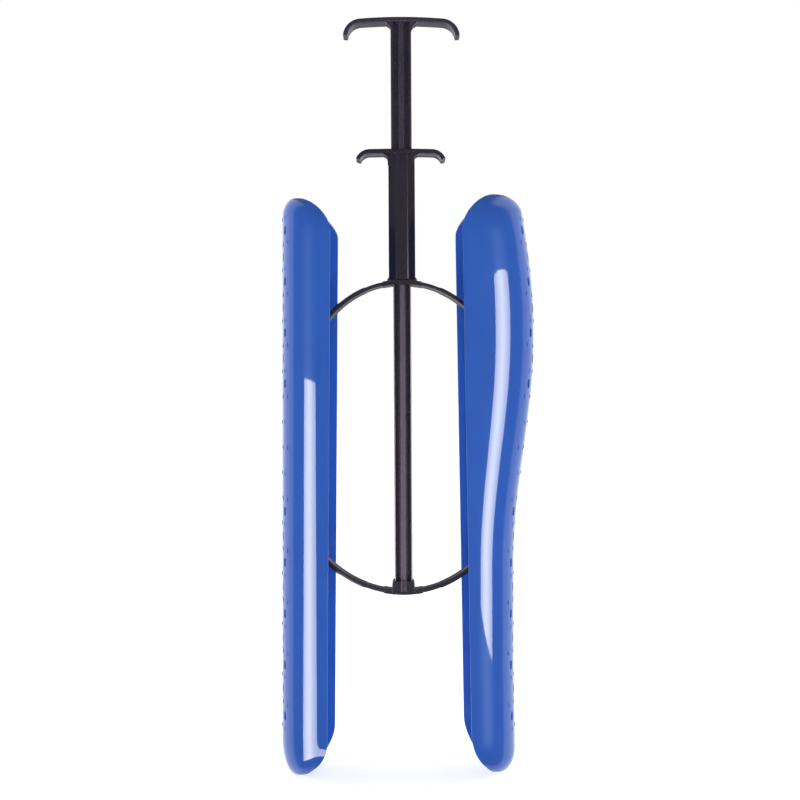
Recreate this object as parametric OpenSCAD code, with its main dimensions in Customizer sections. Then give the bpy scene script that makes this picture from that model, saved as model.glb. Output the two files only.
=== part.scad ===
// Boot shaper: two channel-shaped shells held apart by two sprung bows.
// A palm handle on a ribbed rod slides in a guide tube with a finger grip.
// Squeezing them together bends both bows and draws the shells inwards.
// The origin is on the rod's axis, level with the lowest end of the shells.
// X runs from the shin side to the calf side, Y runs away from the viewer, Z runs up.

/* [Shells] */
// Depth of a shell from flank to flank
shell_depth = 56; // [48:1:64]
// Thickness of the shell wall
wall = 2; // [1.6:0.1:2.6]
// Distance from the rod's axis to the nose of the straight front shell
front_reach = 79.7; // [76:0.1:84]
// Distance from the rod's axis to the nose of the rear shell at its foot
rear_reach = 73.7; // [71:0.1:78]
// How far the rear shell swells out for the calf
calf_swell = 13.3; // [6:0.1:16]
// Height of the fullest part of the calf
calf_height = 290; // [270:1:310]
// Height of the front shell's rounded top
front_top = 381.8; // [370:0.1:395]
// Height of the rear shell's rounded top
rear_top = 384.5; // [370:0.1:397]
// Distance from the rod's axis to the front shell's open edge, at the top
front_edge_top = 44.4; // [42:0.1:47]
// Distance from the rod's axis to the front shell's open edge, at the foot
front_edge_foot = 46.7; // [44:0.1:49]
// Distance from the rod's axis to the rear shell's open edge, at the top
rear_edge_top = 36.2; // [34:0.1:41]
// Distance from the rod's axis to the rear shell's open edge, at the foot
rear_edge_foot = 43; // [40:0.1:46]

/* [Air slots] */
// Height of one air slot
slot_tall = 5.8; // [4:0.1:8]
// Width of one air slot
slot_wide = 3.8; // [2.4:0.1:4.6]
// Distance from one row of slots to the next
slot_pitch = 16.7; // [14:0.1:20]
// Angle of the inner slots off the nose line
slot_inner_angle = 9; // [7:0.5:11]
// Angle of the outer slots off the nose line
slot_outer_angle = 27; // [22:0.5:32]
// Height of the lowest row of slots
slot_low_z = 41.6; // [38:0.1:46]
// Height of the lowest row of the upper group
slot_high_z = 258.7; // [250:0.1:266]

/* [Bows] */
// Distance from the rod's axis to the pins
pin_reach = 53.3; // [51:0.1:55]
// Outer radius of the upper bow
upper_radius = 63.8; // [61:0.1:68]
// Height of the top of the upper bow
upper_crown = 327.6; // [318:0.1:338]
// Outer radius of the lower bow
lower_radius = 70.6; // [68:0.1:76]
// Height of the underside of the lower bow
lower_crown = 118.9; // [108:0.1:126]
// Thickness of a bow's arms
bow_thick = 3; // [2.4:0.1:3.6]
// Width of a bow from edge to edge
bow_wide = 12.6; // [11:0.1:15]
// Diameter of a pin
pin_size = 3; // [2.4:0.1:3.6]
// Thickness of plastic round a pin
eye_wall = 1.8; // [1.5:0.1:2.4]
// Thickness of one cheek that holds a pin
cheek_thick = 2.4; // [2:0.1:3]

/* [Rod and tube] */
// Width of the rod's upper stretch
stem_wide = 13.7; // [13:0.1:14.6]
// Width of the rod's lower stretch
rod_wide = 11.7; // [11:0.1:12.4]
// Depth of the rod
rod_deep = 7; // [6:0.1:7.4]
// Travel of the rod in the tube
travel = 32; // [26:1:36]
// Width of the guide tube
tube_wide = 17.2; // [17:0.1:19.5]
// Depth of the guide tube
tube_deep = 10.6; // [10.4:0.1:12]
// Width of the tube's flat front panel
panel_wide = 8.1; // [6:0.1:10]

/* [Handles] */
// Height of the top of the palm handle
palm_top = 501.7; // [493:0.1:510]
// Length of the palm handle from end to end
palm_long = 77.2; // [70:0.1:90]
// Height of the top of the finger grip
grip_top = 414.2; // [405:0.1:425]
// Length of the finger grip from end to end
grip_long = 58.6; // [54:0.1:70]
// Thickness of both handle bars
bar_thick = 2.6; // [2.2:0.1:3.4]
// Width of the palm handle from front to back
palm_deep = 9.4; // [8:0.1:13]
// Width of the finger grip from front to back
grip_deep = 11.4; // [11:0.1:14]
// Outer radius of the palm handle's curled ends
palm_curl = 14.5; // [11:0.1:17]
// Outer radius of the finger grip's curled ends
grip_curl = 8.6; // [7:0.1:11]
// Radius of the slight crown along the palm handle
palm_crown = 347; // [250:1:600]
// Radius of the slight crown along the finger grip
grip_crown = 800; // [500:1:1200]

/* [Clearances] */
// Gap all round a pin in its holes
pin_gap = 0.05; // [0.02:0.01:0.09]
// Gap on each side of the rod in the tube
slide_gap = 0.2; // [0.15:0.05:0.35]
// Gap on each side of a bow between its cheeks
cheek_gap = 0.3; // [0.2:0.05:0.5]

/* [Hidden] */
$fn = 48;
tiny = 0.01;
half_deep = shell_depth / 2;
nose_round = 27 * shell_depth / 56;
nose_steps = 16;
end_steps = 9;
upper_mid = upper_radius - bow_thick / 2;
lower_mid = lower_radius - bow_thick / 2;
upper_centre = upper_crown - upper_radius;
lower_centre = lower_crown + lower_radius;
upper_pin_z = upper_centre + sqrt(upper_mid * upper_mid - pin_reach * pin_reach);
lower_pin_z = lower_centre - sqrt(lower_mid * lower_mid - pin_reach * pin_reach);
pin_r = pin_size / 2;
pin_hole_r = pin_r + pin_gap;
eye_r = pin_hole_r + eye_wall;
cheek_inner = bow_wide / 2 + cheek_gap;
cheek_outer = cheek_inner + cheek_thick;
cheek_r = eye_r + 0.8;
hub_top = upper_crown + 0.3;
hub_wide = tube_wide + 4.4;
shoulder_z = hub_top + travel + 0.3;
bore_wide = stem_wide + 2 * slide_gap;
rod_hole_wide = rod_wide + 2 * slide_gap;
rod_hole_deep = rod_deep + 2 * slide_gap;
socket_floor = lower_crown + 2;
socket_top = lower_crown + bow_thick + 6.3;
curl_end = 10;
rod_foot = socket_floor + 0.2;
shell_blue = [0.2, 0.37, 0.7];
moulding_black = [0.07, 0.07, 0.08];
pin_grey = [0.6, 0.6, 0.62];

// Falls from 1 at the start of a rounded end to 0 at its tip, more squarely with a higher power.
function fall(t, power) = t <= 0 ? 1 : pow(max(0, 1 - pow(t, power)), 1 / power);

// Half a wave that falls from 1 to 0 as t runs from 0 to 1.
function half_wave(t) = t <= 0 ? 1 : t >= 1 ? 0 : 0.5 + 0.5 * cos(180 * t);

// Swelling of the rear shell's nose at height z, from 0 to 1.
function swell(z) = z > calf_height + 6 ? half_wave((z - calf_height - 6) / 140)
    : half_wave((calf_height - z) / 150);

// A shell's shape is [reach of the nose at the foot, swell, open edge at the top, open edge at
// the foot, height of the top, reach of the top's tip, reach of the foot's tip, height of the
// foot's tip, runs of the nose, edge and depth at the top, and the same three at the foot].
front_shape = [front_reach, 0, front_edge_top, front_edge_foot, front_top,
    front_reach - 8.4, front_reach - 9.2, 0.2, [12.5, 26, 26], [24, 28, 30]];
rear_shape = [rear_reach, calf_swell, rear_edge_top, rear_edge_foot, rear_top,
    rear_reach - 11.6, rear_reach - 9, 2.2, [12.6, 26, 30], [16, 33, 28]];

// Share of the full section left at height z. Part 0 is the nose, 1 the open edge, 2 the depth.
powers = [2, 1.6, 2.1];
function end_share(s, z, part) =
    z > s[4] - s[8][part] ? fall((z - s[4]) / s[8][part] + 1, powers[part])
    : fall((s[7] - z) / s[9][part] + 1, powers[part]);

// Reach of the tip that the section closes on at height z.
function tip_reach(s, z) = z > s[4] / 2 ? s[5] : s[6];

// Reach of the nose and of the open edge at height z. A swollen nose also flares at its foot.
function nose_at(s, z) = let(full = s[0] + s[1] * swell(z) + s[1] * 0.09 * half_wave(z / 90))
    tip_reach(s, z) + (full - tip_reach(s, z)) * end_share(s, z, 0);
function edge_at(s, z) = let(full = s[3] + (s[2] - s[3]) * z / s[4])
    tip_reach(s, z) + (full - tip_reach(s, z)) * end_share(s, z, 1);

// Half the depth at height z.
function half_at(s, z) = half_deep * end_share(s, z, 2);

// One ring of a shell, set in by the wall and opened past the edge when it is a hollow.
function ring(s, z, set_in, zs) = let(
        nose = nose_at(s, z) - set_in,
        edge = set_in > 0 ? edge_at(s, z) - 6 : edge_at(s, z),
        half = max(0.4, half_at(s, z) - set_in),
        full = s[0] - s[3],
        round_x = min(nose_round, nose_round * (nose_at(s, z) - edge_at(s, z)) / full) - set_in)
    concat([[edge, -half, zs]],
        [for (k = [0 : nose_steps]) let(a = 180 * k / nose_steps - 90)
            [nose - max(0.3, round_x) * (1 - cos(a)), half * sin(a), zs]],
        [[edge, half, zs]]);

// Heights of the rings, closer together towards the rounded ends.
function heights(s) = concat(
    [for (k = [0 : end_steps - 1]) s[7] + 34 * (1 - cos(90 * (k + 0.3) / end_steps))],
    s[1] > 0 ? [for (z = [50 : 24 : 338]) z] : [60, 200, 330],
    [for (k = [end_steps - 1 : -1 : 0]) s[4] - 34 * (1 - cos(90 * (k + 0.3) / end_steps))]);

// A closed solid through a stack of rings.
module loft(rings) {
    n = len(rings[0]);
    m = len(rings);
    sides = [for (j = [0 : m - 2], i = [0 : n - 1], half = [0, 1])
        let(a = j * n + i, b = j * n + (i + 1) % n)
        half == 0 ? [a, a + n, b + n] : [a, b + n, b]];
    foot = [for (i = [0 : n - 1]) i];
    head = [for (i = [n - 1 : -1 : 0]) (m - 1) * n + i];
    polyhedron(points = [for (r = rings, p = r) p], faces = concat(sides, [foot, head]));
}

// Air slots through the nose, in pairs that alternate between the inner and outer angle.
module air_slots(s) {
    for (group = [[slot_low_z, 9], [slot_high_z, 7]], k = [0 : group[1] - 1], side = [-1, 1]) {
        z = group[0] + k * slot_pitch;
        angle = k % 2 == 0 ? slot_outer_angle : slot_inner_angle;
        reach = nose_at(s, z) - nose_round;
        translate([reach, 0, z])
            rotate([0, 0, side * angle])
                translate([nose_round - 8, 0, 0])
                    rotate([0, 90, 0])
                        linear_extrude(12) {
                            square([slot_tall - slot_wide, slot_wide], center = true);
                            for (end = [-1, 1])
                                translate([end * (slot_tall - slot_wide) / 2, 0])
                                    circle(slot_wide / 2, $fn = 20);
                        }
    }
}

// Reach of the nose's surface at a distance y to the side, set in by a depth.
function nose_surface(s, z, y, set_in) = nose_at(s, z) - set_in
    - (nose_round - set_in) * (1 - sqrt(1 - pow(y / (half_deep - set_in), 2)));

// Two cheeks that stand in from the nose wall and hold a pin. They end inside the wall.
module cheeks(s, pin_z) {
    root = (nose_surface(s, pin_z, cheek_inner, wall) + nose_surface(s, pin_z, cheek_outer, 0)) / 2;
    for (side = [-1, 1]) {
        translate([0, side * (cheek_inner + cheek_outer) / 2, 0])
            rotate([90, 0, 0])
                linear_extrude(cheek_thick, center = true) {
                    translate([pin_reach, pin_z])
                        circle(cheek_r);
                    translate([pin_reach, pin_z - cheek_r])
                        square([root - pin_reach, 2 * cheek_r]);
                }
    }
}

// Pin holes through the cheeks.
module pin_holes() {
    for (z = [upper_pin_z, lower_pin_z])
        translate([pin_reach, 0, z])
            rotate([90, 0, 0])
                cylinder(h = 2 * cheek_outer + 2, r = pin_hole_r, center = true);
}

// A shell with its nose towards +X.
module shell(s) {
    outer = [for (z = heights(s)) ring(s, z, 0, z)];
    inner = [for (z = heights(s)) ring(s, z, wall, s[7] + wall
        + (z - s[7]) * (s[4] - s[7] - 2 * wall) / (s[4] - s[7]))];
    difference() {
        union() {
            difference() {
                loft(outer);
                loft(inner);
            }
            cheeks(s, upper_pin_z);
            cheeks(s, lower_pin_z);
        }
        pin_holes();
        air_slots(s);
    }
}

module front_shell() {
    color(shell_blue)
        mirror([1, 0, 0])
            shell(front_shape);
}

module rear_shell() {
    color(shell_blue)
        shell(rear_shape);
}

// A wedge from angle a to angle b, larger than the given radius.
module wedge(r, a, b) {
    steps = 8;
    polygon(concat([[0, 0]], [for (k = [0 : steps])
        let(t = a + (b - a) * k / steps) [1.3 * r * cos(t), 1.3 * r * sin(t)]]));
}

// A strip of a ring from angle a to angle b.
module strip(r, thick, a, b) {
    intersection() {
        difference() {
            circle(r, $fn = 160);
            circle(r - thick, $fn = 160);
        }
        wedge(r, a, b);
    }
}

// Points on an arc about a centre from angle a to angle b, without the first one.
function arc(centre, r, a, b, steps) = [for (k = [1 : steps])
    let(t = a + (b - a) * k / steps) centre + r * [cos(t), sin(t)]];

// A crowned bar seen from the front with both ends curled down, its top at height zero.
module curled_bar(long, curl, crown) {
    turn = asin((long / 2 - curl * cos(curl_end)) / (crown - curl));
    middle = [0, -crown];
    centre = middle + (crown - curl) * [sin(turn), cos(turn)];
    tip = centre + (curl - bar_thick / 2) * [cos(curl_end), sin(curl_end)];
    right = concat(
        [[0, -bar_thick]],
        arc(middle, crown - bar_thick, 90, 90 - turn, 3),
        arc(centre, curl - bar_thick, 90 - turn, curl_end, 10),
        arc(tip, bar_thick / 2, curl_end - 180, curl_end, 8),
        arc(centre, curl, curl_end, 90 - turn, 10),
        arc(middle, crown, 90 - turn, 90, 3));
    left = [for (k = [len(right) - 2 : -1 : 1]) [-right[k][0], right[k][1]]];
    polygon(concat(right, left));
}

// Triangular fillets under a bar, each side of a stem.
module fillets(stem, run) {
    for (side = [0, 1])
        mirror([side, 0])
            polygon([[stem / 2 - 0.5, 0.7], [stem / 2 + run, 0.7], [stem / 2 + run, 0],
                [stem / 2, -run], [stem / 2 - 0.5, -run]]);
}

// The rod's section: two side lips, a thin web and a middle rib.
module rod_section(wide) {
    lip = wide * 0.11;
    rib = wide * 0.29;
    square([wide, 2], center = true);
    square([rib, rod_deep], center = true);
    for (side = [-1, 1])
        translate([side * (wide - lip) / 2, 0])
            square([lip, rod_deep], center = true);
}

// Stands a flat drawing up so that it faces the viewer, with the given depth.
module upright(deep) {
    rotate([90, 0, 0])
        linear_extrude(deep, center = true)
            children();
}

module plunger() {
    color(moulding_black) {
        translate([0, 0, palm_top])
            upright(palm_deep) {
                curled_bar(palm_long, palm_curl, palm_crown);
                translate([0, -bar_thick])
                    fillets(stem_wide, 3.2);
            }
        translate([0, 0, shoulder_z])
            linear_extrude(palm_top - bar_thick / 2 - shoulder_z)
                rod_section(stem_wide);
        translate([0, 0, rod_foot])
            linear_extrude(shoulder_z - rod_foot)
                rod_section(rod_wide);
    }
}

// The tube's outline, with a flat panel and bevelled corners front and back.
module tube_outline() {
    w = tube_wide / 2;
    d = tube_deep / 2;
    p = panel_wide / 2;
    b = tube_deep * 0.2;
    polygon([[p, -d], [w, -b], [w, b], [p, d], [-p, d], [-w, b], [-w, -b], [-p, -d]]);
}

module guide_tube() {
    color(moulding_black)
        difference() {
            union() {
                translate([0, 0, hub_top])
                    linear_extrude(grip_top - bar_thick / 2 - hub_top)
                        tube_outline();
                translate([0, 0, grip_top])
                    upright(grip_deep) {
                        curled_bar(grip_long, grip_curl, grip_crown);
                        translate([0, -bar_thick])
                            fillets(tube_wide, 2.4);
                    }
                translate([0, 0, hub_top])
                    upright(tube_deep * 0.7)
                        difference() {
                            translate([-hub_wide / 2, 0])
                                square([hub_wide, 2.2]);
                            for (side = [-1, 1])
                                translate([side * hub_wide / 2, 2.2 + tiny])
                                    circle(2);
                        }
            }
            translate([0, 0, hub_top - 1])
                linear_extrude(grip_top - hub_top + 2)
                    square([bore_wide, rod_hole_deep], center = true);
        }
}

// One bow seen from the front, crown upwards, with its circle's centre at the origin.
module bow_face(r, mid) {
    pin_up = sqrt(mid * mid - pin_reach * pin_reach);
    end_angle = atan2(pin_up, pin_reach);
    thick_angle = acos(41 / mid);
    pad_angle = acos(13 / mid);
    step_angle = acos(25 / mid);
    strip(r - 0.4, bow_thick - 0.6, end_angle, 180 - end_angle);
    strip(r, bow_thick + 0.2, pad_angle, 180 - pad_angle);
    for (side = [0, 1])
        mirror([side, 0]) {
            strip(r, bow_thick, end_angle, step_angle);
            strip(r + 0.9, bow_thick + 0.9, end_angle, thick_angle);
            translate([pin_reach, pin_up])
                circle(eye_r);
        }
}

// The holes for the pins in one bow.
module bow_holes(mid) {
    pin_up = sqrt(mid * mid - pin_reach * pin_reach);
    for (side = [-1, 1])
        translate([side * pin_reach, pin_up])
            circle(pin_hole_r);
}

module upper_bow() {
    color(moulding_black)
        difference() {
            union() {
                translate([0, 0, upper_centre])
                    upright(bow_wide)
                        difference() {
                            bow_face(upper_radius, upper_mid);
                            bow_holes(upper_mid);
                        }
                translate([0, 0, upper_crown - bow_thick / 2])
                    linear_extrude(hub_top - upper_crown + bow_thick / 2)
                        square([hub_wide, tube_deep * 0.9], center = true);
            }
            translate([0, 0, upper_crown - 2 * bow_thick])
                linear_extrude(hub_top - upper_crown + 3 * bow_thick)
                    square([rod_hole_wide, rod_hole_deep], center = true);
        }
}

// The socket block on the lower bow, seen from the front.
module socket_face() {
    high = socket_top - lower_crown - bow_thick / 2;
    base = rod_wide / 2 + 2;
    translate([0, lower_crown + bow_thick / 2])
        polygon([[-base, 0], [base, 0], [base - 0.5, high - 1.4], [base - 1.3, high],
            [1.3 - base, high], [0.5 - base, high - 1.4]]);
}

module lower_bow() {
    color(moulding_black)
        difference() {
            union() {
                translate([0, 0, lower_centre])
                    upright(bow_wide)
                        mirror([0, 1])
                            difference() {
                                bow_face(lower_radius, lower_mid);
                                bow_holes(lower_mid);
                            }
                upright(tube_deep)
                    socket_face();
            }
            translate([0, 0, socket_floor])
                linear_extrude(socket_top - socket_floor + 1)
                    square([rod_wide + 0.2, rod_deep + 0.2], center = true);
        }
}

// A pin along Y with a low head on the far side.
module pin_at(x, z) {
    color(pin_grey)
        translate([x, 0, z])
            rotate([-90, 0, 0]) {
                translate([0, 0, -cheek_outer])
                    cylinder(h = 2 * cheek_outer + 0.6, r = pin_r);
                translate([0, 0, cheek_outer + 0.05])
                    cylinder(h = 1, r = pin_r + 1);
            }
}

front_shell();
rear_shell();
plunger();
guide_tube();
upper_bow();
lower_bow();
pin_at(-pin_reach, upper_pin_z);  // front_upper_pin
pin_at(pin_reach, upper_pin_z);  // rear_upper_pin
pin_at(-pin_reach, lower_pin_z);  // front_lower_pin
pin_at(pin_reach, lower_pin_z);  // rear_lower_pin
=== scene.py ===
# %% [markdown]
# # A boot shaper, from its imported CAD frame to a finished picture
# The object keeps the shaft of a tall boot in shape. Two channel-shaped shells stand inside the shaft,
# two sprung bows hold them apart, and squeezing the palm handle towards the finger grip draws them in.
# The frame gives every body, joint and node at its real size. This script dresses it.

# %% Load the frame
import bpy
import bmesh
from math import asin, atan2, cos, hypot, pi, radians, sin, sqrt, tan
from mathutils import Matrix, Vector


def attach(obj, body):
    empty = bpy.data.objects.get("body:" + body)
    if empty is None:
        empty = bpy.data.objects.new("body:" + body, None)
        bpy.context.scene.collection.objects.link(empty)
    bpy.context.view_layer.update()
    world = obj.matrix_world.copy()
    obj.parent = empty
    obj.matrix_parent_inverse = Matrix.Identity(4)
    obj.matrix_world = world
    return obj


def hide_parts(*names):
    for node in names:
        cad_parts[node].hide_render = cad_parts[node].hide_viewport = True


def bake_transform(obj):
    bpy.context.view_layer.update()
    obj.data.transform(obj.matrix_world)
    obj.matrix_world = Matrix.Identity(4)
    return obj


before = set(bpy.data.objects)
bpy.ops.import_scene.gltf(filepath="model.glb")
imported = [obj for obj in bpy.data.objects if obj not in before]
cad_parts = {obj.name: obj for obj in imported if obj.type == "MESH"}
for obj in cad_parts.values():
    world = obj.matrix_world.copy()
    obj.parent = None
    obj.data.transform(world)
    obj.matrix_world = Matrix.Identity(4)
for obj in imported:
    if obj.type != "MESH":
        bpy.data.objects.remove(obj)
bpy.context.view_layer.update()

MM = 0.001

# %% [markdown]
# ## The camera
# The picture was taken level and square on, about level with the middle of the shells, from some
# 65 cm away. A horizontal camera with a 44 mm lens gives the same spread between near and far edges.

# %% Camera
view = bpy.data.cameras.new("product_view")
view.lens = 43.875
view.sensor_width = 36
view.clip_start = 0.02
camera = bpy.data.objects.new("product_view", view)
camera.location = (-0.001667, -0.650, 0.248)
camera.rotation_euler = (radians(90), 0, 0)
bpy.context.scene.collection.objects.link(camera)
bpy.context.scene.camera = camera
bpy.context.scene.view_settings.view_transform = "Standard"
print("camera", tuple(round(v, 4) for v in camera.location), "lens", view.lens)

# %% [markdown]
# ## Materials, one small helper
# A finish is a few nodes wired together, so one helper adds a node, sets its values and its links.
# Colours are written as sRGB hex, the way a colour card gives them, and turned to linear light once.

# %% Colour and node helpers
def linear(hex_colour):
    parts = [int(hex_colour[i:i + 2], 16) / 255 for i in (1, 3, 5)]
    return [v / 12.92 if v <= 0.04045 else ((v + 0.055) / 1.055) ** 2.4 for v in parts] + [1.0]


def add(tree, kind, values=None, links=None, **settings):
    node = tree.nodes.new(kind)
    for name, value in settings.items():
        setattr(node, name, value)
    for socket, value in (values or {}).items():
        node.inputs[socket].default_value = value
    for socket, source in (links or {}).items():
        tree.links.new(source, node.inputs[socket])
    return node


# %% [markdown]
# ## Moulded ABS for the shells
# The shells are injection moulded in a glossy blue ABS. The mould is polished, so highlights have crisp
# edges, but the skin still waves by a few hundredths of a millimetre over 20 to 40 mm where it shrank.
# The pigment is even, with a faint cloudiness, and handling leaves light dust and very fine scuffs that
# only change the gloss. Noise on Object coordinates in metres sets each of these at its real scale. The core
# side and the trimmed edge of the wall are duller. The core side is also painted a lighter blue, a painted
# light that brightens the inside of the shell.

# %% Shell plastic
def noise(tree, point, per_metre, detail=2.0, roughness=0.5):
    return add(tree, "ShaderNodeTexNoise", {"Scale": per_metre, "Detail": detail, "Roughness": roughness},
               {"Vector": point})


def remap(tree, source, low, high, new_low, new_high):
    return add(tree, "ShaderNodeMapRange", {"From Min": low, "From Max": high, "To Min": new_low,
                                            "To Max": new_high}, {"Value": source}).outputs["Result"]


def plastic(name, deep, light, per_metre, gloss, ior, waves, tint=(1, 1, 1, 1)):
    """A moulded plastic: two close colours, a range of roughness, and bumps as (per metre, mm) pairs."""
    material = bpy.data.materials.new(name)
    material.use_nodes = True
    tree = material.node_tree
    shader = tree.nodes["Principled BSDF"]
    shader.inputs["IOR"].default_value = ior
    shader.inputs["Specular Tint"].default_value = tint
    point = add(tree, "ShaderNodeTexCoord").outputs["Object"]
    cloud = noise(tree, point, per_metre, 3.0)
    colours = add(tree, "ShaderNodeValToRGB", None, {"Fac": cloud.outputs["Fac"]})
    ramp = colours.color_ramp
    ramp.elements[0].position, ramp.elements[0].color = 0.3, linear(deep)
    ramp.elements[1].position, ramp.elements[1].color = 0.7, linear(light)
    tree.links.new(colours.outputs["Color"], shader.inputs["Base Color"])
    scuff = noise(tree, point, 900, 4.0, 0.7)
    tree.links.new(remap(tree, scuff.outputs["Fac"], 0.35, 0.7, gloss[0], gloss[1]), shader.inputs["Roughness"])
    normal = None
    for scale, height in waves:
        wave = noise(tree, point, scale, 1.0)
        links = {"Height": wave.outputs["Fac"]}
        if normal:
            links["Normal"] = normal
        normal = add(tree, "ShaderNodeBump", {"Distance": height * MM, "Strength": 1.0}, links).outputs["Normal"]
    tree.links.new(normal, shader.inputs["Normal"])
    return material


WARP = (25, 0.05)
# The core side's blue is lighter than the mould side's: painted light for the inside of the shell.
shell_abs, inner_abs_painted_lighter, edge_abs = [
    plastic("blue_ABS" + kind, deep, light, 30, gloss, 1.5, [WARP, grain])
    for kind, deep, light, gloss, grain in (("", "#2955AE", "#2B59B2", (0.012, 0.04), (900, 0.0004)),
                                            ("_core_side_painted_lighter", "#3062C3", "#3267CB", (0.08, 0.14), (1200, 0.0004)),
                                            ("_trimmed_edge", "#2857B4", "#2A5BBA", (0.3, 0.4), (1200, 0.001)))]
print("materials", shell_abs.name, inner_abs_painted_lighter.name, edge_abs.name)

# %% [markdown]
# ## The shell's shape
# A shell is one curved sheet, open towards the rod: two flat flanks and a rounded nose. Its ends close
# like the bow of a boat, and the rear one swells for the calf. These functions give the reach of the
# nose and of the open edge, and half the depth, at each height. All are in millimetres and match the CAD.

# %% Shell profile
def half_wave(t):
    return 1 if t <= 0 else 0 if t >= 1 else 0.5 + 0.5 * cos(pi * t)


CALF_LOW, CALF_HIGH = 290, 296
FADE_DOWN, FADE_UP = 150, 140


def swell(z):
    """Share of the calf's swelling at height z: full from CALF_LOW to CALF_HIGH, and fading beyond."""
    return half_wave((z - CALF_HIGH) / FADE_UP) if z > CALF_HIGH else half_wave((CALF_LOW - z) / FADE_DOWN)


def fall(t, power):
    """A rounded end: 1 before it starts, and 0 at the tip, where t = 1."""
    return 1 if t <= 0 else max(0, 1 - t ** power) ** (1 / power)


HALF_DEPTH = 28
FAR_SQUARER = 2.6


class Shell:
    powers_top, powers_foot = (2, 1.56, 2.1), (2, 1.75, 2.1)

    def __init__(self, reach, swell, edge_top, edge_foot, top, tip_top, tip_foot, foot, runs_top, runs_foot):
        self.reach, self.swell, self.edge_top, self.edge_foot = reach, swell, edge_top, edge_foot
        self.top, self.tip_top, self.tip_foot, self.foot = top, tip_top, tip_foot, foot
        self.runs_top, self.runs_foot = runs_top, runs_foot

    def share(self, z, part, shorter=0):
        """How full the nose (0), the edge (1) or the depth (2) is at height z, between the rounded ends."""
        run = self.runs_top[part] - shorter
        if z > self.top - run:
            return fall((z - self.top) / run + 1, self.powers_top[part])
        return fall((self.foot - z) / self.runs_foot[part] + 1, self.powers_foot[part])

    def section(self, z, far=0):
        """Reach of the nose, reach of the open edge and half the depth at height z. The edge is cut a
        little squarer on the far flank, far = 1, than on the near one, far = -1."""
        tip = self.tip_top if z > self.top / 2 else self.tip_foot
        nose = self.reach + self.swell * (swell(z) + 0.09 * half_wave(z / 90))
        edge = self.edge_foot + (self.edge_top - self.edge_foot) * z / self.top
        from_tip = min(z - self.foot, self.top - z)
        inward = FAR_SQUARER * far * min(1, from_tip / 8) if z < self.top / 2 else 0
        return (tip + (nose - tip) * self.share(z, 0), tip + (edge - tip) * self.share(z + inward, 1, 1.5 * far),
                HALF_DEPTH * self.share(z, 2))


front = Shell(79.7, 0, 44.4, 46.7, 381.8, 71.3, 70.5, 0.2, (12.5, 22.6, 26), (24, 24, 30))
rear = Shell(73.7, 13.3, 36.2, 43, 384.5, 62.1, 64.7, 2.2, (12.6, 23.5, 30), (16, 28, 28))
print("front nose, edge and half depth at 200 mm", [round(v, 1) for v in front.section(200)])

# %% [markdown]
# ## From a flat sheet to a shell
# Slots and studs are easiest to cut in a flat sheet. So the sheet starts as a grid, one cell per 3 degrees
# of nose and twelve cells per row of slots. A slot is a block of cells taken out, its rim drawn in to a
# rounded outline. A stud is one point pulled up within four others. Neither would be as even if it were cut
# into the curved shell.

# %% Flat sheet with slots and studs
NOSE, FLANK = 30, 6
FOOT_ROW, LOW_ROW, HIGH_ROW, TOP_ROW = -32, -8, 236, 252
CELL = radians(3)
FIRST_SLOT, ROW, COLUMN = 41.6, 16.7 / 12, CELL * HALF_DEPTH
STUD_WIDE, STUD_TALL, STUD_PEAK = 1.65, 2, 0.5
SLOT_ROUND, SLOT_STRAIGHT = 1.9, 1.0


def moved_points(geom):
    """The points among what an operator gives back."""
    return [g for g in geom if isinstance(g, bmesh.types.BMVert)]


def vented_sheet():
    bm = bmesh.new()
    wide, tall = 2 * (NOSE + FLANK), TOP_ROW - FOOT_ROW
    bmesh.ops.create_grid(bm, x_segments=wide, y_segments=tall, size=1,
                          matrix=Matrix.Translation((0, (TOP_ROW + FOOT_ROW) / 2, 0))
                          @ Matrix.Diagonal((wide / 2, tall / 2, 1, 1)))
    points = {(round(v.co.x), round(v.co.y)): v for v in bm.verts}
    faces = {(round(c.x - 0.5), round(c.y - 0.5)): f for f in bm.faces for c in [f.calc_center_median()]}
    for n in range(-1, 20):
        for column in (0, 6, 12, -6, -12) if n % 2 == 0 else (3, 9, -3, -9):
            raise_stud(bm, points, column, 12 * n + 6)
    for n in list(range(9)) + list(range(13, 20)):
        outer = (n if n < 9 else n - 13) % 2 == 0
        for column in (9, -9) if outer else (5, -5):
            let_in_slot(bm, faces, column, 12 * n)
    return bm


def raise_stud(bm, points, column, row):
    peak = points[column, row]
    peak.co.z = STUD_PEAK
    rim = [points[column + 1, row], points[column, row + 1], points[column - 1, row], points[column, row - 1]]
    for i, (x, y) in enumerate(((STUD_WIDE, 0), (0, STUD_TALL), (-STUD_WIDE, 0), (0, -STUD_TALL))):
        rim[i].co = (column + x / COLUMN, row + y / ROW, 0)
    for i in range(4):
        bmesh.ops.connect_vert_pair(bm, verts=[rim[i], rim[i - 1]])
    for edge in {e for v in rim for e in v.link_edges}:
        edge.smooth = not (set(edge.verts) <= set(rim) | {peak})


def let_in_slot(bm, faces, column, row):
    block = [faces[column + i, row + j] for i in range(-2, 2) for j in range(-3, 3)]
    edges = [e for f in block for e in f.edges]
    rim = [e for e in set(edges) if edges.count(e) == 1]
    bmesh.ops.delete(bm, geom=block, context="FACES")
    lip = bmesh.ops.extrude_edge_only(bm, edges=rim)["geom"]
    for v in moved_points(lip):
        turn = atan2((v.co.y - row) / 3, (v.co.x - column) / 2)
        straight = SLOT_STRAIGHT if sin(turn) > 0.01 else -SLOT_STRAIGHT if sin(turn) < -0.01 else 0
        v.co = (column + SLOT_ROUND * cos(turn) / COLUMN, row + (SLOT_ROUND * sin(turn) + straight) / ROW, 0)


# %% [markdown]
# ## Bending the sheet
# In the real mould the sheet is curved from the start. Here each point's column says how far it lies round
# the nose or along a flank, and its row says how high. The near and far edges lean a little apart, as they
# do on the moulded shells, which are free to warp.

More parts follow.
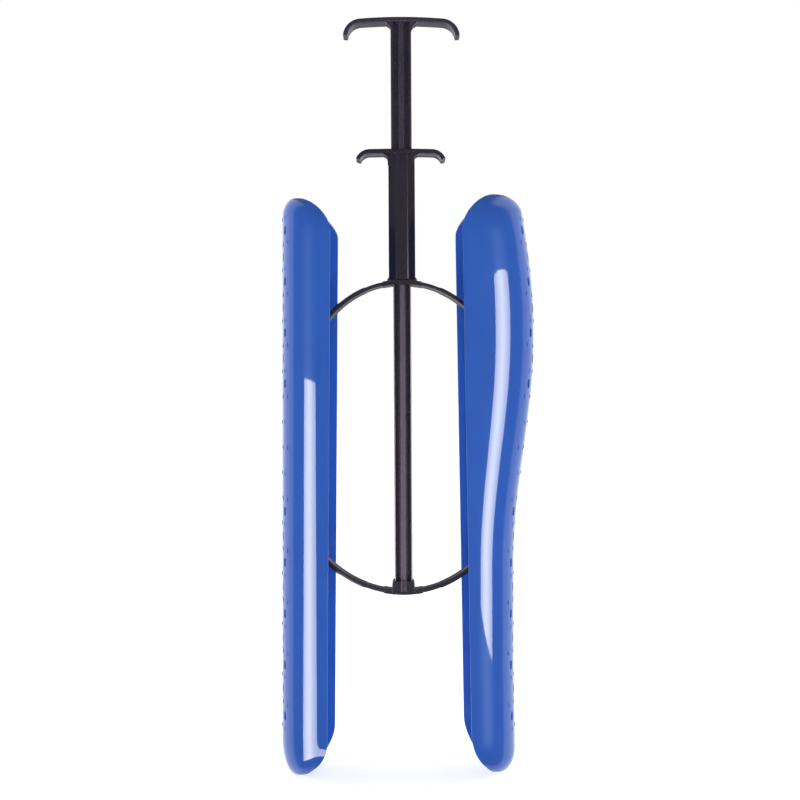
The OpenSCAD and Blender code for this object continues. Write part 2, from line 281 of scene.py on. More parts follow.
# %% Carry the sheet to its place
def height_of(shell, row):
    """Height of a row: evenly spaced in the middle, and closing up towards both ends."""
    low, high = FIRST_SLOT + LOW_ROW * ROW, FIRST_SLOT + HIGH_ROW * ROW
    if row < LOW_ROW:
        return low + (shell.foot - low) * sin(pi / 2 * (LOW_ROW - row) / (LOW_ROW - FOOT_ROW))
    if row > HIGH_ROW:
        return high + (shell.top - high) * sin(pi / 2 * (row - HIGH_ROW) / (TOP_ROW - HIGH_ROW))
    return FIRST_SLOT + row * ROW


NOSE_ROUND, CALF_ROUND = 27, 3.5
NEAR_LEAN, FAR_LEAN = 1.7, -0.2


def on_shell(shell, column, row, lift):
    """The place of a point of the sheet: columns go round the nose and then straight to the open edge."""
    z = height_of(shell, row)
    turn = CELL * min(NOSE, max(-NOSE, column))
    nose, edge, half = shell.section(z, sin(turn) ** 3)
    full = NOSE_ROUND + (CALF_ROUND * swell(z) if shell.swell else 0)
    round_x = min(full, full * (nose - edge) / (shell.reach - shell.edge_foot))
    x = nose - round_x * (1 - cos(turn))
    beyond = max(0, abs(column) - NOSE) / FLANK
    x += (edge - x) * beyond
    lean = (NEAR_LEAN if turn < 0 else FAR_LEAN) * sin(turn) ** 3 * shell.share(z, 2)
    return Vector((x - lean + lift * cos(turn), half * sin(turn) + lift * sin(turn), z)) * MM


def shell_skin(shell, side):
    """The curved sheet with its nose towards +X for side 1 and towards -X for side -1."""
    bm = vented_sheet()
    for v in bm.verts:
        v.co = on_shell(shell, *v.co)
    bmesh.ops.remove_doubles(bm, verts=bm.verts, dist=0.004 * MM)
    bmesh.ops.dissolve_degenerate(bm, edges=bm.edges, dist=0.002 * MM)
    bmesh.ops.scale(bm, verts=bm.verts, vec=(side, 1, 1))
    bmesh.ops.recalc_face_normals(bm, faces=bm.faces)
    middle = min(bm.faces, key=lambda f: (f.calc_center_median() - Vector((side * 0.08, 0, 0.2))).length)
    if middle.normal.x * side < 0:
        bmesh.ops.reverse_faces(bm, faces=bm.faces)
    for f in bm.faces:
        f.smooth = True
    return bm


# %% [markdown]
# ## Cheeks inside the shells
# Each bow end is held by a pin between two cheeks that stand in from the nose wall. A cheek starts as a
# circle round the pin; the half nearer the wall is drawn out to the wall, and a second circle is the hole.

# %% Cheeks
PIN_REACH, PIN_HOLE = 53.3, 1.55
UPPER_RADIUS, UPPER_CENTRE = 62.3, 263.8
LOWER_RADIUS, LOWER_CENTRE = 69.1, 189.5
UPPER_PIN = Vector((PIN_REACH, 0, UPPER_CENTRE + sqrt(UPPER_RADIUS ** 2 - PIN_REACH ** 2)))
LOWER_PIN = Vector((PIN_REACH, 0, LOWER_CENTRE - sqrt(LOWER_RADIUS ** 2 - PIN_REACH ** 2)))
CHEEK_ROUND, CHEEK_THICK, CHEEK_ASIDE = 4.15, 2.4, 7.8


def cheek(shell, side, pin, y):
    nose = shell.section(pin.z)[0]
    root = nose - 1 - 26 * (1 - sqrt(1 - (abs(y) / NOSE_ROUND) ** 2)) - pin.x
    bm = bmesh.new()
    rim = bmesh.ops.create_circle(bm, segments=32, radius=CHEEK_ROUND)["verts"]
    bmesh.ops.create_circle(bm, segments=32, radius=PIN_HOLE)
    for v in rim:
        if v.co.x > 0.1:
            side_y = CHEEK_ROUND if v.co.y > 1 else -CHEEK_ROUND if v.co.y < -1 else v.co.y
            v.co = (v.co.x / CHEEK_ROUND * root, side_y, 0)
    bmesh.ops.bridge_loops(bm, edges=bm.edges)
    top = bmesh.ops.extrude_face_region(bm, geom=bm.faces[:])["geom"]
    bmesh.ops.translate(bm, verts=moved_points(top), vec=(0, 0, CHEEK_THICK))
    bmesh.ops.recalc_face_normals(bm, faces=bm.faces)
    bmesh.ops.transform(bm, verts=bm.verts, matrix=Matrix.Diagonal((side * MM, MM, MM, 1))
                        @ Matrix.Translation((pin.x, y + CHEEK_THICK / 2, pin.z)) @ Matrix.Rotation(pi / 2, 4, "X"))
    if side < 0:
        bmesh.ops.reverse_faces(bm, faces=bm.faces)
    return bm


# %% [markdown]
# ## Finishing a piece
# Every piece ends the same way: it becomes an object with its plastic, a Solidify modifier gives a sheet its
# wall, a Bevel rounds the corners that a mould always leaves round, and it is tied to its body in the frame
# when it is given one.

# %% Make a mesh object from a bmesh
def finished(name, bm, material, body, nodes=(), bevel=None, wall=None, angle=40):
    mesh = bpy.data.meshes.new(name)
    bm.to_mesh(mesh)
    bm.free()
    piece = bpy.data.objects.new(name, mesh)
    bpy.context.scene.collection.objects.link(piece)
    mesh.materials.append(material)
    if wall:
        # The inner faces take the core side plastic, painted lighter as painted light.
        mesh.materials.append(inner_abs_painted_lighter)
        mesh.materials.append(edge_abs)
        solid = piece.modifiers.new("wall", "SOLIDIFY")
        solid.thickness, solid.offset, solid.use_even_offset = wall * MM, -1, True
        solid.material_offset, solid.material_offset_rim = 1, 2
    if bevel:
        soft = piece.modifiers.new("soft_edges", "BEVEL")
        soft.width, soft.segments, soft.limit_method = bevel * MM, 2, "ANGLE"
        soft.angle_limit, soft.use_clamp_overlap, soft.harden_normals = radians(angle), False, True
    if body:
        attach(piece, body)
    if nodes:
        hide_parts(*nodes)
    return piece


# %% [markdown]
# ## The two shells
# A shell is moulded in one with its four cheeks. The wall is 2 mm, with the glossy mould side outwards, a
# duller core side inwards, painted a lighter blue as painted light, and a dull rim where the flash was
# trimmed. The front shell is straight and the rear one swells, and one loop makes both.

# %% Front and rear shell
for name, shell, side in (("front", front, -1), ("rear", rear, 1)):
    skin = finished(name + "_vented_shell", shell_skin(shell, side), shell_abs, name, [name + "_shell"],
                    bevel=0.08, wall=2)
    for level, pin in (("upper", UPPER_PIN), ("lower", LOWER_PIN)):
        for where, y in (("near", -CHEEK_ASIDE), ("far", CHEEK_ASIDE)):
            finished("%s_%s_%s_cheek" % (name, level, where), cheek(shell, side, pin, y), shell_abs, name,
                     bevel=0.25)
    print(name, "shell", len(skin.data.polygons), "faces before the wall")


# %% [markdown]
# ## Black polypropylene
# The rod, tube, handles and bows are moulded in black polypropylene, tough enough to bend. Its skin is
# satin, with a fine grain from the mould and soft flow marks, which the eye reads as a soft dark sheen. The
# rod and its palm handle are a little duller and painted a little lighter, a painted light that makes up for
# shade. The rod's rib is painted grey below the tube, a painted sheen, and the round marks of the ejector
# pins are recessed and painted darker, a painted shade.

# %% Moulding plastic
# The satin and rib copies are painted lighter than the black, as painted light; the pin mark copy is painted darker,
# as painted shade.
black_pp, satin_painted_lighter_pp, rib_painted_sheen_pp, pin_mark_painted_shade_pp = [
    plastic("black_polypropylene" + kind, deep, light, 60, gloss, 1.49, [(60, 0.03), (1400, 0.0004)],
            tint=(0.95, 0.78, 1, 1))
    for kind, deep, light, gloss in (("", "#1C1A22", "#211F27", (0.16, 0.22)),
                                     ("_satin_painted_lighter", "#25232C", "#2B2932", (0.26, 0.32)),
                                     ("_rib_painted_sheen", "#302E3A", "#363441", (0.3, 0.36)),
                                     ("_pin_mark_painted_shade", "#0F0E13", "#131218", (0.16, 0.22)))]
print("materials", black_pp.name, satin_painted_lighter_pp.name, rib_painted_sheen_pp.name, pin_mark_painted_shade_pp.name)

# %% [markdown]
# ## Rods, bars and slabs
# Three ways of making a solid cover all the black parts: a section drawn out along the rod, a rounded
# section spun round an axis for the curled bars and the bows, and an upright outline given its depth.

# %% Section helpers
BAR_THICK = 3


def rounded_section(bm, wide, tall, corner, z):
    """A rounded rectangle across the Y axis with its top at z."""
    flat = Matrix.Translation((0, 0, z - tall / 2)) @ Matrix.Rotation(pi / 2, 4, "Y") \
        @ Matrix.Diagonal((tall / 2, wide / 2, 1, 1))
    bmesh.ops.create_grid(bm, x_segments=1, y_segments=1, size=1, matrix=flat)
    bmesh.ops.bevel(bm, geom=bm.verts[:], offset=corner, offset_type="OFFSET", segments=3, profile=0.5,
                    affect="VERTICES", material=-1)
    return bm.faces[:]


def spun(bm, section, centre, turn, steps):
    """Draws a section round an axis along Y through centre (x, z), and gives the last section."""
    geom = list(section) + [e for f in section for e in f.edges] + [v for f in section for v in f.verts]
    last = bmesh.ops.spin(bm, geom=list(set(geom)), cent=(centre[0], 0, centre[1]), axis=(0, 1, 0),
                          angle=turn, steps=steps, use_duplicate=False)["geom_last"]
    return [g for g in last if isinstance(g, bmesh.types.BMFace)]


def slab(bm, outline, near, far):
    """An upright solid: an outline of a few (x, z) points, drawn out from y near to y far."""
    face = bm.faces.new([bm.verts.new((x, near, z)) for x, z in outline])
    moved = bmesh.ops.extrude_face_region(bm, geom=[face])["geom"]
    bmesh.ops.translate(bm, verts=moved_points(moved), vec=(0, far - near, 0))


LEAN, LEAN_PER_MM, LEAN_FROM = 0.85, 0.0054, 120
BOW_REACH = 50


def to_metres(bm, play=0.0, reach=1e6):
    """Merges doubles, lets a piece lean with the rod by its play in the tube (less towards a distance of
    reach from the rod), and turns millimetres into metres."""
    for v in bm.verts:
        lean = LEAN - LEAN_PER_MM * (v.co.z - LEAN_FROM)
        v.co.x += play * lean * max(0, 1 - abs(v.co.x) / reach)
    bmesh.ops.remove_doubles(bm, verts=bm.verts, dist=0.001)
    bmesh.ops.recalc_face_normals(bm, faces=bm.faces)
    bmesh.ops.scale(bm, verts=bm.verts, vec=(MM, MM, MM))
    for f in bm.faces:
        f.smooth = True
    return bm


# %% [markdown]
# ## The two handles
# The palm handle is moulded on top of the rod, and the finger grip on top of the tube. Each is half a bar, spun
# round two axes for its crown and its curled end, given gussets, and mirrored.

# %% Curled bar
def curled_bar(top, long, curl, end, crown, deep, stem, gusset, inset, drop, skirt, aside):
    """A handle bar, long from end to end, its top a slight crown of that radius, both ends curled down
    with the radius curl to the angle end, and thin gussets (their reach, inset, drop and skirt) against a
    stem of that width. Aside moves it along X."""
    bm = bmesh.new()
    section = rounded_section(bm, deep, BAR_THICK, 0.25, 0)
    lean = asin((long / 2 - curl * sin(radians(end))) / (crown - curl))
    hub = ((crown - curl) * sin(lean), -crown + (crown - curl) * cos(lean))
    tip = spun(bm, section, (0, -crown), lean, 8)
    tip = spun(bm, tip, hub, radians(end) - lean + 1 / curl, 14)
    bmesh.ops.bevel(bm, geom=[e for f in tip for e in f.edges], offset=1.1, offset_type="OFFSET", segments=4,
                    profile=0.5, affect="EDGES", material=-1, clamp_overlap=True)
    bmesh.ops.delete(bm, geom=[f for f in bm.faces if all(abs(v.co.x) < 1e-4 for v in f.verts)],
                     context="FACES_ONLY")
    curve = [(1.0, 0), (0.96, 0.22), (0.62, 0.41), (0.28, 0.6), (0.06, 0.82), (0, 1)]
    for y, size in ((0.8 - deep / 2, 1), (deep / 2 - 2.2, 0.75)):
        slab(bm, [(stem / 2 - inset, -1.2)] + [(stem / 2 + gusset * x, -1.6 - size * drop * z) for x, z in curve]
             + [(stem / 2 - 0.2, -size * skirt), (stem / 2 - inset, -size * skirt)], y, y + 1.4)
    bmesh.ops.mirror(bm, geom=bm.verts[:] + bm.edges[:] + bm.faces[:], matrix=Matrix.Identity(4),
                     merge_dist=0.001, axis="X")
    bmesh.ops.translate(bm, verts=bm.verts, vec=(aside, 0, top))
    return to_metres(bm, 1)


palm_shape = curled_bar(top=501.7, long=77.2, curl=12.2, end=80, crown=347, deep=9.4, stem=13.7, gusset=4.3,
                        inset=1.2, drop=7, skirt=8.8, aside=0.35)
grip_shape = curled_bar(top=414.2, long=58.6, curl=10, end=62, crown=800, deep=11.4, stem=17.6, gusset=4.2,
                        inset=4.4, drop=5.5, skirt=11, aside=-0.45)
# The palm handle takes the satin plastic, painted lighter as painted light.
for name, shape, finish, body in (("palm_handle", palm_shape, satin_painted_lighter_pp, "rod"),
                                  ("finger_grip", grip_shape, black_pp, "tube")):
    bar = finished(name, shape, finish, body, bevel=0.25)
    print(name, len(bar.data.polygons), "faces")

# %% [markdown]
# ## The rod
# Its section is a flat middle rib with a cove on each side that rises to the outer lip, the same front and
# back. That is a strip of cells whose edges are moved in and out, drawn up in two stretches, the upper one
# wider. Round marks where the ejector pins pushed it out of its mould are cut with a Boolean.

# %% Rod
HALF_SECTION = [(1.0, 0.94), (0.88, 1.0), (0.72, 0.72), (0.55, 0.46), (0.41, 0.31), (0.32, 0.29), (0.27, 1.0)]
STRIPS = 2 * len(HALF_SECTION) - 1
ROD_WIDE, ROD_DEEP, ROD_FOOT, STEM_FOOT = 5.85, 3.5, 121.1, 360
MARK_ROUND, MARK_DEEP = 1.15, 4
MARKS = ((3.2, 239.4), (-3.9, 203.6), (4.0, 168.3), (-4.0, 133), (4.0, 133))


def ribbed_rod():
    bm = bmesh.new()
    bmesh.ops.create_grid(bm, x_segments=STRIPS, y_segments=1, size=1)
    lines = [(-x, y) for x, y in HALF_SECTION] + [(x, y) for x, y in reversed(HALF_SECTION)]
    for v in bm.verts:
        x, y = lines[round((v.co.x + 1) / 2 * STRIPS)]
        v.co = (x * ROD_WIDE, y * ROD_DEEP * (1 if v.co.y > 0 else -1), ROD_FOOT)
    geom = bm.faces[:]
    for rise, grow in [(9.9625, 1)] * 24 + [(0.4, 13.7 / 11.7)] + [(9.3, 1)] * 15:
        inside = geom if geom[0].calc_center_median().z > ROD_FOOT + 0.1 else []
        geom = bmesh.ops.extrude_face_region(bm, geom=geom)["geom"]
        bmesh.ops.delete(bm, geom=inside, context="FACES")
        points = moved_points(geom)
        bmesh.ops.translate(bm, verts=points, vec=(0, 0, rise))
        bmesh.ops.scale(bm, verts=points, vec=(grow, 1, 1))
        geom = [g for g in geom if isinstance(g, bmesh.types.BMFace)]
    return to_metres(bm, 1)


def cut(piece, cutter):
    """Takes the cutter out of the piece for good, and removes the cutter."""
    knife = piece.modifiers.new("cut", "BOOLEAN")
    knife.operation, knife.object, knife.solver = "DIFFERENCE", cutter, "EXACT"
    piece.modifiers.move(len(piece.modifiers) - 1, 0)
    soft = [m for m in piece.modifiers if m.type == "BEVEL"]
    for m in soft:
        m.show_viewport = False
    graph = bpy.context.evaluated_depsgraph_get()
    graph.update()
    mesh = bpy.data.meshes.new_from_object(piece.evaluated_get(graph))
    piece.modifiers.remove(knife)
    for m in soft:
        m.show_viewport = True
    piece.data = mesh
    bpy.data.objects.remove(cutter)


# The rod takes the satin plastic, painted lighter as painted light.
rod = finished("ribbed_rod", ribbed_rod(), satin_painted_lighter_pp, "rod", ["plunger"], bevel=0.12)
for plastic_pp in (rib_painted_sheen_pp, pin_mark_painted_shade_pp):
    rod.data.materials.append(plastic_pp)
# The rib's near faces below the tube take the lighter grey plastic: a painted sheen.
for f in rod.data.polygons:
    where = f.center / MM
    if abs(f.normal.y) > 0.9 and abs(where.y) > 3.3 and abs(where.x) < 3 and where.z < STEM_FOOT:
        f.material_index = 1
marks = bmesh.new()
for x, z in MARKS:
    bmesh.ops.create_cone(marks, cap_ends=True, segments=20, radius1=MARK_ROUND, radius2=MARK_ROUND,
                          depth=MARK_DEEP, matrix=Matrix.Translation((x, -2.2, z)) @ Matrix.Rotation(pi / 2, 4, "X"))
pins = finished("ejector_marks", to_metres(marks, 1), satin_painted_lighter_pp, None)
for plastic_pp in (rib_painted_sheen_pp, pin_mark_painted_shade_pp):
    pins.data.materials.append(plastic_pp)
# The cutter's faces carry the darker plastic into each mark: painted shade in the recess.
for f in pins.data.polygons:
    f.material_index = 2
cut(rod, pins)
for i, finish in enumerate(rod.data.materials):
    print("rod", sum(f.material_index == i for f in rod.data.polygons), "faces of", finish.name)

# %% [markdown]
# ## The guide tube
# An eight-sided sleeve: its outline and its bore are two loops of eight points, bridged and drawn up. A low
# panel stands on the near face under the grip, and foot fillets lead into the bow's crown.

# %% Tube
def loop_of(bm, points, z):
    ring = bmesh.ops.create_circle(bm, segments=len(points), radius=1)["verts"]
    for v, (x, y) in zip(ring, points):
        v.co = (x, y, z)
    return list({e for v in ring for e in v.link_edges})


SLEEVE_FOOT, SLEEVE_LONG = 327.9, 85


def sleeve():
    bm = bmesh.new()
    outline = [(4.05, -5.3), (8.8, -2.12), (8.8, 2.12), (4.05, 5.3), (-4.05, 5.3), (-8.8, 2.12), (-8.8, -2.12),
               (-4.05, -5.3)]
    bore = [(4.05, -3.7), (7.05, -2.5), (7.05, 2.5), (4.05, 3.7), (-4.05, 3.7), (-7.05, 2.5), (-7.05, -2.5),
            (-4.05, -3.7)]
    bmesh.ops.bridge_loops(bm, edges=loop_of(bm, outline, SLEEVE_FOOT) + loop_of(bm, bore, SLEEVE_FOOT))
    geom = bmesh.ops.extrude_face_region(bm, geom=bm.faces[:])["geom"]
    bmesh.ops.translate(bm, verts=moved_points(geom), vec=(0, 0, SLEEVE_LONG))
    slab(bm, [(-3.8, 330.2), (3.8, 330.2), (3.8, 409.2), (2.6, 409.9), (0, 410.2), (-2.6, 409.9), (-3.8, 409.2)],
         -5.5, -5.2)
    for side in (-1, 1):
        slab(bm, [(side * 8.4, SLEEVE_FOOT), (side * 10.1, SLEEVE_FOOT), (side * 9.4, 328.5), (side * 9, 329.2),
                  (side * 8.4, 330.6)], -3.7, 3.7)
    return to_metres(bm, 1)


tube = finished("guide_tube_sleeve", sleeve(), black_pp, "tube", ["guide_tube"], bevel=0.3, angle=20)
print("tube", len(tube.data.polygons), "faces")

# %% [markdown]
# ## The bows
# Each bow is a flat spring, thin beside its hub and thicker towards the ends, with an eye round each pin.
# Its hub moves with the tube or the rod and its ends move with the pins. Each arm is a piece of its own,
# tied to no body here. An arm is a section spun round the bow's centre.

# %% Bow arms
ARM_FROM, EYE_ROUND, EYE_LONG = 12.6, 3.35, 12.6
ARM_STEPS = [(13, -1.3, 1.1), (24.4, -1.3, 1.1), (25.2, -1.5, 1.5), (40.4, -1.5, 1.5), (41.4, -1.5, 1.9)]


def arm_edges(x):
    """Inner and outer offset of the arm from the bow's middle radius, at a distance x from the rod."""
    inner, outer = ARM_STEPS[0][1:]
    for (x0, i0, o0), (x1, i1, o1) in zip(ARM_STEPS, ARM_STEPS[1:]):
        if x >= x0:
            t = min(1, (x - x0) / (x1 - x0))
            inner, outer = i0 + (i1 - i0) * t, o0 + (o1 - o0) * t
    return inner, outer


def bow_arm(mid, centre, up, side, deep):
    """One arm with its crown upwards for up 1, or downwards for up -1."""
    bm = bmesh.new()
    start, end = asin(ARM_FROM / mid), asin((PIN_REACH + 0.2) / mid)
    section = rounded_section(bm, deep, BAR_THICK, 0.45, mid + BAR_THICK / 2)
    bmesh.ops.rotate(bm, verts=bm.verts, cent=(0, 0, 0), matrix=Matrix.Rotation(start, 3, "Y"))
    spun(bm, section, (0, 0), end - start, 44)
    for v in bm.verts:
        reach = hypot(v.co.x, v.co.z)
        inner, outer = arm_edges(v.co.x / reach * mid)
        share = (reach - mid + BAR_THICK / 2) / BAR_THICK
        v.co *= Vector((1, 0, 1)) * ((mid + inner + (outer - inner) * share) / reach) + Vector((0, 1, 0))
    hoop = [bmesh.ops.create_circle(bm, segments=32, radius=r)["verts"] for r in (EYE_ROUND, PIN_HOLE)]
    ring = bmesh.ops.bridge_loops(bm, edges=list({e for vs in hoop for v in vs for e in v.link_edges}))["faces"]
    solid = bmesh.ops.extrude_face_region(bm, geom=ring)["geom"]
    bmesh.ops.translate(bm, verts=moved_points(solid), vec=(0, 0, EYE_LONG))
    eye = [v for vs in hoop for v in vs] + moved_points(solid)
    place = Matrix.Translation((PIN_REACH, EYE_LONG / 2, sqrt(mid ** 2 - PIN_REACH ** 2))) \
        @ Matrix.Rotation(pi / 2, 4, "X")
    bmesh.ops.transform(bm, verts=eye, matrix=place)
    bmesh.ops.scale(bm, verts=bm.verts, vec=(side, 1, up))
    bmesh.ops.translate(bm, verts=bm.verts, vec=(0, 0, centre))
    return to_metres(bm, 1, BOW_REACH)


# %% [markdown]
# ## The bows' hubs
# The middle of each bow is a plate with a hole for the rod: two oblongs of eight points, bridged, drawn up
# and bent to the bow's radius. The lower one also carries the socket block.

# %% Bow hubs
HUB_HALF, HUB_THICK, HUB_BELOW = 13, 3.2, 1.7
ROD_HOLE = (6.35, 3.8)


def oblong(x, y):
    """Eight points round a rectangle with half sizes x and y."""
    return [(x, -y), (x, 0), (x, y), (0, y), (-x, y), (-x, 0), (-x, -y), (0, -y)]


def bow_hub(mid, centre, up, half):
    bm = bmesh.new()
    bmesh.ops.bridge_loops(bm, edges=loop_of(bm, oblong(HUB_HALF, half), mid - HUB_BELOW)
                           + loop_of(bm, oblong(*ROD_HOLE), mid - HUB_BELOW))
    geom = bmesh.ops.extrude_face_region(bm, geom=bm.faces[:])["geom"]
    bmesh.ops.translate(bm, verts=moved_points(geom), vec=(0, 0, HUB_THICK))
    bmesh.ops.subdivide_edges(bm, edges=[e for e in bm.edges if abs(e.verts[0].co.x - e.verts[1].co.x) > 3],
                              cuts=3, use_grid_fill=True)
    for v in bm.verts:
        v.co.z += sqrt(mid ** 2 - v.co.x ** 2) - mid
    bmesh.ops.scale(bm, verts=bm.verts, vec=(1, 1, up))
    bmesh.ops.translate(bm, verts=bm.verts, vec=(0, 0, centre))
    return bm


def socket(bm):
    """The block on the lower bow that the rod stands in, with a pair of ribs on its near face."""
    slab(bm, [(-7.85, 120.4), (7.85, 120.4), (7.35, 126.8), (6.55, 128.2), (-6.55, 128.2), (-7.35, 126.8)],
         -5.3, 5.3)
    for x in (-1.1, 1.1):
        slab(bm, [(x - 0.6, 121), (x + 0.6, 121), (x + 0.6, 129), (x - 0.6, 129)], -5.75, -5.2)


for level, mid, centre, up, mover, low, deep in (
        ("upper", UPPER_RADIUS, UPPER_CENTRE, 1, "tube", "", 12.6),
        ("lower", LOWER_RADIUS, LOWER_CENTRE, -1, "rod", "_foot", 9.6)):
    hub = bow_hub(mid, centre, up, deep / 2)
    if low:
        socket(hub)
    finished(level + "_bow_hub", to_metres(hub, 1, BOW_REACH), black_pp, mover, bevel=0.3)
    for name, side in (("front", -1), ("rear", 1)):
        arm = finished("%s_bow_%s_arm" % (level, name), bow_arm(mid, centre, up, side, deep), black_pp, None,
                       bevel=0.25)
        pin = UPPER_PIN if up > 0 else LOWER_PIN
        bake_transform(arm)
        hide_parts(level + "_bow")
    print(level, "bow", len(arm.data.polygons), "faces in each arm, radius", mid)

# %% [markdown]
# ## The pins
# Short pins of drawn steel with a low round head on the far side. Drawing leaves fine streaks along the pin,
# which soften its gloss. A pin is half of its outline, spun right round.

# %% Pin steel
steel = bpy.data.materials.new("drawn_steel")
steel.use_nodes = True
tree = steel.node_tree
shader = tree.nodes["Principled BSDF"]
shader.inputs["Metallic"].default_value = 1.0
point = add(tree, "ShaderNodeTexCoord").outputs["Object"]
drawn = add(tree, "ShaderNodeMapping", {"Scale": (1, 0.05, 1)}, {"Vector": point}).outputs["Vector"]
streaks = noise(tree, drawn, 2500)
tone = add(tree, "ShaderNodeValToRGB", None, {"Fac": streaks.outputs["Fac"]})
tone.color_ramp.elements[0].color, tone.color_ramp.elements[1].color = linear("#9A9B9E"), linear("#C3C4C8")
tree.links.new(tone.outputs["Color"], shader.inputs["Base Color"])
tree.links.new(remap(tree, streaks.outputs["Fac"], 0.3, 0.7, 0.22, 0.36), shader.inputs["Roughness"])
print("material", steel.name)

# %% Pins
def headed_pin(side, pin):
    bm = bmesh.new()
    outline = [(0, -9), (1.2, -9), (1.5, -8.7), (1.5, 9.05), (2.5, 9.05), (2.4, 9.6), (1.7, 9.95), (0, 10.05)]
    points = [bm.verts.new((r, y, 0)) for r, y in outline]
    edges = [bm.edges.new(pair) for pair in zip(points, points[1:])]
    bmesh.ops.spin(bm, geom=points + edges, cent=(0, 0, 0), axis=(0, 1, 0), angle=2 * pi, steps=28,
                   use_merge=True, use_duplicate=False)
    bmesh.ops.translate(bm, verts=bm.verts, vec=(side * pin.x, 0, pin.z))
    return to_metres(bm)


for name, side in (("front", -1), ("rear", 1)):
    for level, pin, body in (("upper", UPPER_PIN, name), ("lower", LOWER_PIN, name + "_foot")):
        finished("%s_%s_steel_pin" % (name, level), headed_pin(side, pin), steel, body,
                 ["%s_%s_pin" % (name, level)], bevel=0.12)
        print(name, level, "pin at", [round(v, 1) for v in (side * pin.x, pin.z)], "mm")

# %% [markdown]
# ## Floor and light
# The object stands on a plain pale floor of matt paper in a bright white room. The floor isn't mirrored in
# the object. The room is bright at both sides, which gives the shells their pale edges, and darker behind
# the object and behind the camera, which keeps the black parts black.

# %% Floor and world
floor = bpy.data.meshes.new("floor")
bm = bmesh.new()
bmesh.ops.create_grid(bm, x_segments=1, y_segments=1, size=60)
bm.to_mesh(floor)
bm.free()
ground = bpy.data.objects.new("floor", floor)
bpy.context.scene.collection.objects.link(ground)
ground.visible_glossy = False
ground.visible_shadow = False
paper = bpy.data.materials.new("white_paper")
paper.use_nodes = True
tree = paper.node_tree
shader = tree.nodes["Principled BSDF"]
shader.inputs["Base Color"].default_value = linear("#F4F4F4")
shader.inputs["Roughness"].default_value = 0.9
path = add(tree, "ShaderNodeLightPath")
tree.links.new(remap(tree, path.outputs["Is Camera Ray"], 0, 1, 0, 0.55), shader.inputs["Emission Strength"])
shader.inputs["Emission Color"].default_value = (1, 1, 1, 1)
floor.materials.append(paper)

IN_FRONT, BEYOND, BELOW, BESIDE = 0.28, 0.2, 0.8, 1.25
world = bpy.data.worlds.new("white_room")
bpy.context.scene.world = world
world.use_nodes = True
tree = world.node_tree
path = add(tree, "ShaderNodeLightPath")
direction = add(tree, "ShaderNodeTexCoord").outputs["Generated"]
toward = add(tree, "ShaderNodeSeparateXYZ", None, {"Vector": direction})
wide = add(tree, "ShaderNodeMath", None, {0: toward.outputs["X"]}, operation="ABSOLUTE").outputs["Value"]
behind = remap(tree, toward.outputs["Z"], -0.35, -0.08, BELOW, BEYOND)
shade = add(tree, "ShaderNodeMapRange", {"From Min": 0.2, "From Max": 0.33, "To Max": BESIDE},
            {"Value": wide, "To Min": behind}).outputs["Result"]
room = add(tree, "ShaderNodeMapRange", {"From Min": -0.03, "From Max": 0.06, "To Min": IN_FRONT},
           {"Value": toward.outputs["Y"], "To Max": shade}).outputs["Result"]
seen = path.outputs["Is Camera Ray"]
level = add(tree, "ShaderNodeMapRange", {"To Max": 1.0}, {"Value": seen, "To Min": room})
sky = tree.nodes["Background"]
tint = add(tree, "ShaderNodeMix", {6: (0.91, 0.96, 1, 1), 7: (1, 1, 1, 1)}, {0: seen}, data_type="RGBA")
tree.links.new(tint.outputs[2], sky.inputs["Color"])
tree.links.new(level.outputs["Result"], sky.inputs["Strength"])
print("world", world.name, "floor", paper.name)

# %% [markdown]
# ## Softboxes
# Two tall softboxes stand beside the camera, one low on the left and one on the right: each draws the long
# highlight down one shell. A weak wide glow round each gives the soft sheen above and below it. Three fills
# light the colours and aren't mirrored.

# %% Softboxes
def ramp_along(tree, axis, stops):
    ramp = add(tree, "ShaderNodeValToRGB", None, {"Fac": axis})
    ramp.color_ramp.interpolation = "EASE"
    for i, (where, share) in enumerate(stops):
        stop = ramp.color_ramp.elements[i] if i < 2 else ramp.color_ramp.elements.new(where)
        stop.position, stop.color = where, (share, share, share, 1)
    return ramp.outputs["Color"]


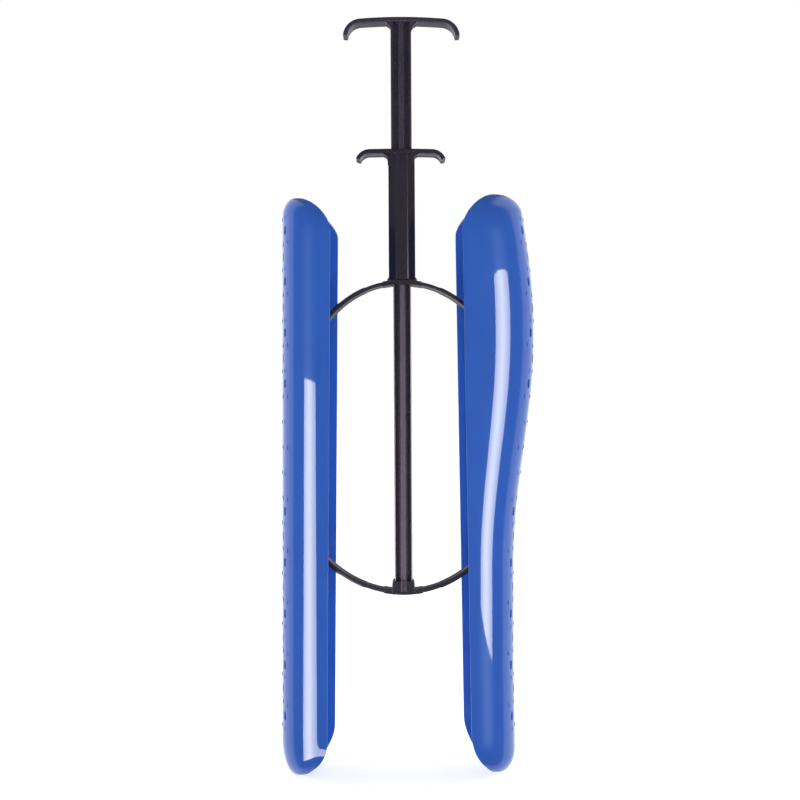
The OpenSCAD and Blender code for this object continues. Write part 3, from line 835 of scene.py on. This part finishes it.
def softbox(name, start, turn, spread, top, tall, away, radiance, tilt=0, yaw=0, roll=0, across=None, up=None,
            flag=None):
    """A light panel hung from its top edge, seen from x = start, turned from straight in front towards +X.
    Across and up are shares of its light as (place, share) stops: the two ends first, then the rest.
    A flag (slope, low) cuts off its lower corner."""
    lamp = bpy.data.lights.new(name, "AREA")
    lamp.shape, lamp.size, lamp.size_y = "RECTANGLE", 2 * away * tan(radians(spread / 2)), tall
    lamp.energy = radiance * pi * lamp.size * lamp.size_y
    if across:
        lamp.use_nodes = True
        tree = lamp.node_tree
        place = add(tree, "ShaderNodeSeparateXYZ", None,
                    {"Vector": add(tree, "ShaderNodeNewGeometry").outputs["Parametric"]})
        share = add(tree, "ShaderNodeMath", None, {0: ramp_along(tree, place.outputs["X"], across),
                                                   1: ramp_along(tree, place.outputs["Y"], up)},
                    operation="MULTIPLY")
        if flag:
            slope, low = flag
            slant = add(tree, "ShaderNodeMath", {1: slope}, {0: place.outputs["X"], 2: place.outputs["Y"]},
                        operation="MULTIPLY_ADD").outputs["Value"]
            share = add(tree, "ShaderNodeMath", None,
                        {0: share.outputs["Value"], 1: remap(tree, slant, low, low + 0.01, 0, 1)},
                        operation="MULTIPLY")
        tree.links.new(share.outputs["Value"], tree.nodes["Emission"].inputs["Strength"])
    out = Vector((sin(radians(turn)), -cos(radians(turn)), 0))
    rise = out * sin(radians(tilt)) + Vector((0, 0, cos(radians(tilt))))
    box = bpy.data.objects.new(name, lamp)
    box.location = Vector((start, 0, top)) + out * away - rise * tall / 2
    box.rotation_euler = (radians(90 + tilt), radians(roll), radians(turn + yaw))
    box.visible_camera = False
    bpy.context.scene.collection.objects.link(box)
    return box


WARM, COOL = (1, 0.975, 0.84), (0.6, 0.8, 1)
even = [(0.0, 1.0), (1.0, 1.0)]
hump = [(0.0, 0.6), (1.0, 0.55), (0.45, 1.0)]
peak = [(0.0, 0.0), (1.0, 0.0), (0.5, 1.0)]
rising = [(0.0, 0.0), (1.0, 1.0), (0.05, 1.0)]
left_box = softbox("left_softbox", start=-0.06, turn=-28.5, spread=36, top=0.288, tall=1.5, away=1.3,
                   radiance=15.5, tilt=20, roll=0.6, across=hump, up=rising)
right_box = softbox("right_softbox", start=0.06, turn=27.5, spread=38, top=0.54, tall=0.81, away=1.3,
                    radiance=15, yaw=14, roll=-2.5, across=hump, up=even, flag=(0.118, 0.118))
left_glow = softbox("left_glow", start=-0.06, turn=-33, spread=52, top=1.3, tall=2.6, away=1.5, radiance=1.4,
                    across=peak, up=peak)
right_glow = softbox("right_glow", start=0.06, turn=29, spread=58, top=1.3, tall=2.6, away=1.5, radiance=2.4,
                     across=peak, up=peak)
for box in (left_box, right_box, left_glow, right_glow):
    box.visible_diffuse = False
    box.data.color = WARM if box in (left_box, right_box) else COOL
fill = softbox("front_fill", start=0.0, turn=0, spread=3.8, top=0.85, tall=1.2, away=0.6, radiance=15)
fill_left = softbox("left_fill", start=0.0, turn=-80, spread=40, top=1.0, tall=1.2, away=1.5, radiance=2.2)
fill_right = softbox("right_fill", start=0.0, turn=80, spread=40, top=1.0, tall=1.2, away=1.5, radiance=2.2)
for box in (fill, fill_left, fill_right):
    box.visible_glossy = False
